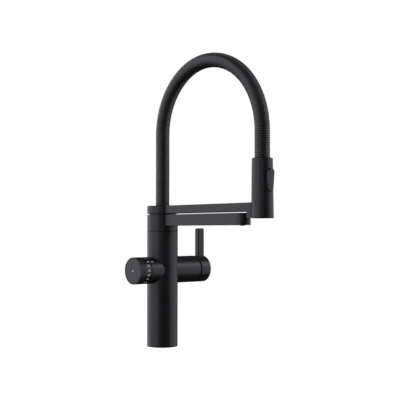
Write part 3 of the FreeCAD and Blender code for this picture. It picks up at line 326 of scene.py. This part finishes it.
def hose_faces(rings):
    """Four-sided faces from ring to ring, and a flat face at each end."""
    faces = []
    for ring in range(rings - 1):
        low = ring * HOSE_SIDES
        high = low + HOSE_SIDES
        for side in range(HOSE_SIDES):
            after = (side + 1) % HOSE_SIDES
            faces.append((low + side, low + after, high + after, high + side))
    last = (rings - 1) * HOSE_SIDES
    faces.append(tuple(reversed(range(HOSE_SIDES))))
    faces.append(tuple(range(last, last + HOSE_SIDES)))
    return faces


def ribbed_hose():
    """The hose as one closed mesh, smooth but for its flat ends."""
    points = hose_points()
    faces = hose_faces(len(points) // HOSE_SIDES)
    hose = add_mesh("ribbed_hose", points, faces)
    hose.data.polygons.foreach_set("use_smooth", [len(face) < HOSE_SIDES for face in faces])
    return hose


hose = ribbed_hose()
dress(hose, "hose_rubber")
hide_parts("spray_hose", "inner_hose")
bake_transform(hose)


def turned_ring(name, profile, spot):
    """A ring with this closed profile of radius and length along its axis, placed by the function spot."""
    corners = len(profile)
    points = []
    faces = []
    for side in range(RING_SIDES):
        angle = 2 * math.pi * side / RING_SIDES
        for radius, along in profile:
            points.append(spot(radius * math.cos(angle), radius * math.sin(angle), along))
        here = side * corners
        there = (side + 1) % RING_SIDES * corners
        for corner in range(corners):
            after = (corner + 1) % corners
            faces.append((here + corner, there + corner, there + after, here + after))
    return add_mesh(name, points, faces)


# The ring of painted shade in the seam under the lower arm
def seam_shade_ring():
    inside = SEAM_RADIUS - SEAM_DEPTH
    profile = ((inside, SEAM_FOOT), (SEAM_RADIUS, SEAM_FOOT), (SEAM_RADIUS, SEAM_TOP), (inside, SEAM_TOP))
    return turned_ring("seam_shade_ring", profile, lambda across, up, along: (across, up, along))


def return_ring(outer_end, inner_end):
    """The soft ring behind the dial's button, a little barrel-shaped, between two ends along the dial."""
    profile = []
    for step in range(RETURN_STEPS + 1):
        share = step / RETURN_STEPS
        bulge = RETURN_BULGE * math.sin(math.pi * share)
        profile.append((RETURN_RADIUS - RETURN_BULGE + bulge, outer_end + share * (inner_end - outer_end)))
    profile.append((RETURN_RADIUS - RETURN_WALL, inner_end))
    profile.append((RETURN_RADIUS - RETURN_WALL, outer_end))
    return turned_ring("return_ring", profile, lambda across, up, along: (along, across, DIAL_AXIS + up))


# Painted shade: a near-black ring in the seam under the lower arm
seam = seam_shade_ring()
dress(seam, "painted_seam_shade")
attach(seam, "column")

ring_low, ring_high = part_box("button_return_ring")
spring = return_ring(ring_low[0], ring_high[0])
dress(spring, "seal_rubber")
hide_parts("button_return_ring")
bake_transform(spring)


def flat_number(text):
    """The mesh of a number lying flat, with its middle at the origin."""
    curve = bpy.data.curves.new("number_outline", "FONT")
    curve.body = text
    curve.size = NUMBER_HEIGHT
    curve.align_x = "CENTER"
    curve.align_y = "CENTER"
    curve.extrude = NUMBER_PROUD
    curve.offset = NUMBER_STROKE
    outline = bpy.data.objects.new("number_outline", curve)
    bpy.context.scene.collection.objects.link(outline)
    bpy.context.view_layer.update()
    mesh = bpy.data.meshes.new_from_object(outline.evaluated_get(bpy.context.evaluated_depsgraph_get()))
    bpy.data.objects.remove(outline)
    return mesh


def dial_numbers():
    """Numbers round the dial's rear band, read from the front with the dial on the left."""
    points = []
    faces = []
    for step, text in enumerate(NUMBERS, start=1):
        mesh = flat_number(text)
        first = len(points)
        middle = math.radians(NUMBER_ZERO + NUMBER_STEP * step)
        for vertex in mesh.vertices:
            along, up, proud = vertex.co
            angle = middle + up / DIAL_RADIUS
            radius = DIAL_RADIUS + proud
            rise = radius * math.sin(angle)
            points.append((NUMBER_PLACE + along, -radius * math.cos(angle), DIAL_AXIS + rise))
        for polygon in mesh.polygons:
            faces.append([first + index for index in polygon.vertices])
    return add_mesh("dial_numbers", points, faces)


numbers = dial_numbers()
dress(numbers, "white_print")
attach(numbers, "dial")


# Studio
def add_floor():
    """A white floor that the camera sees, but that throws no light on the tap."""
    half = FLOOR_SIZE / 2
    corners = [(-half, -half, 0.0), (half, -half, 0.0), (half, half, 0.0), (-half, half, 0.0)]
    floor = add_mesh("floor", corners, [(0, 1, 2, 3)])
    material = bpy.data.materials.new("floor_white")
    material.use_nodes = True
    shader = material.node_tree.nodes["Principled BSDF"]
    shader.inputs["Base Color"].default_value = FLOOR_COLOUR
    shader.inputs["Roughness"].default_value = FLOOR_ROUGHNESS
    shader.inputs["Emission Color"].default_value = BACKGROUND
    shader.inputs["Emission Strength"].default_value = FLOOR_GLOW
    floor.data.materials.append(material)
    floor.visible_diffuse = False
    floor.visible_glossy = False
    floor.visible_shadow = False


def add_softbox(name, place, width, height, brightness):
    light = bpy.data.lights.new(name, "AREA")
    light.shape = "RECTANGLE"
    light.size = width
    light.size_y = height
    light.energy = brightness * math.pi * width * height
    light.color = LIGHT_TINT
    lamp = bpy.data.objects.new(name, light)
    bpy.context.scene.collection.objects.link(lamp)
    lamp.location = place
    lamp.rotation_euler = (Vector(TARGET) - Vector(place)).to_track_quat("-Z", "Y").to_euler()


def add_world():
    """White behind the tap, and a dim room for what it reflects beside the softboxes."""
    world = bpy.data.worlds.new("studio")
    bpy.context.scene.world = world
    world.use_nodes = True
    nodes = world.node_tree.nodes
    links = world.node_tree.links
    room = nodes["Background"]
    room.inputs["Color"].default_value = BACKGROUND
    room.inputs["Strength"].default_value = ROOM_STRENGTH
    white = nodes.new("ShaderNodeBackground")
    white.inputs["Color"].default_value = BACKGROUND
    white.inputs["Strength"].default_value = BACKGROUND_STRENGTH
    path = nodes.new("ShaderNodeLightPath")
    mix = nodes.new("ShaderNodeMixShader")
    links.new(path.outputs["Is Camera Ray"], mix.inputs["Fac"])
    links.new(room.outputs["Background"], mix.inputs[1])
    links.new(white.outputs["Background"], mix.inputs[2])
    links.new(mix.outputs["Shader"], nodes["World Output"].inputs["Surface"])


def add_camera():
    data = bpy.data.cameras.new("photo_camera")
    data.lens = CAMERA_LENS
    data.sensor_width = CAMERA_SENSOR
    camera = bpy.data.objects.new("photo_camera", data)
    bpy.context.scene.collection.objects.link(camera)
    ahead = math.cos(CAMERA_PITCH)
    forward = Vector(
        (-math.sin(CAMERA_AZIMUTH) * ahead, math.cos(CAMERA_AZIMUTH) * ahead, math.sin(CAMERA_PITCH))
    )
    camera.location = CAMERA_PLACE
    camera.rotation_euler = forward.to_track_quat("-Z", "Y").to_euler()
    bpy.context.scene.camera = camera


add_floor()
add_world()
for softbox in SOFTBOXES:
    add_softbox(*softbox)
add_camera()
bpy.context.scene.view_settings.view_transform = "Standard"
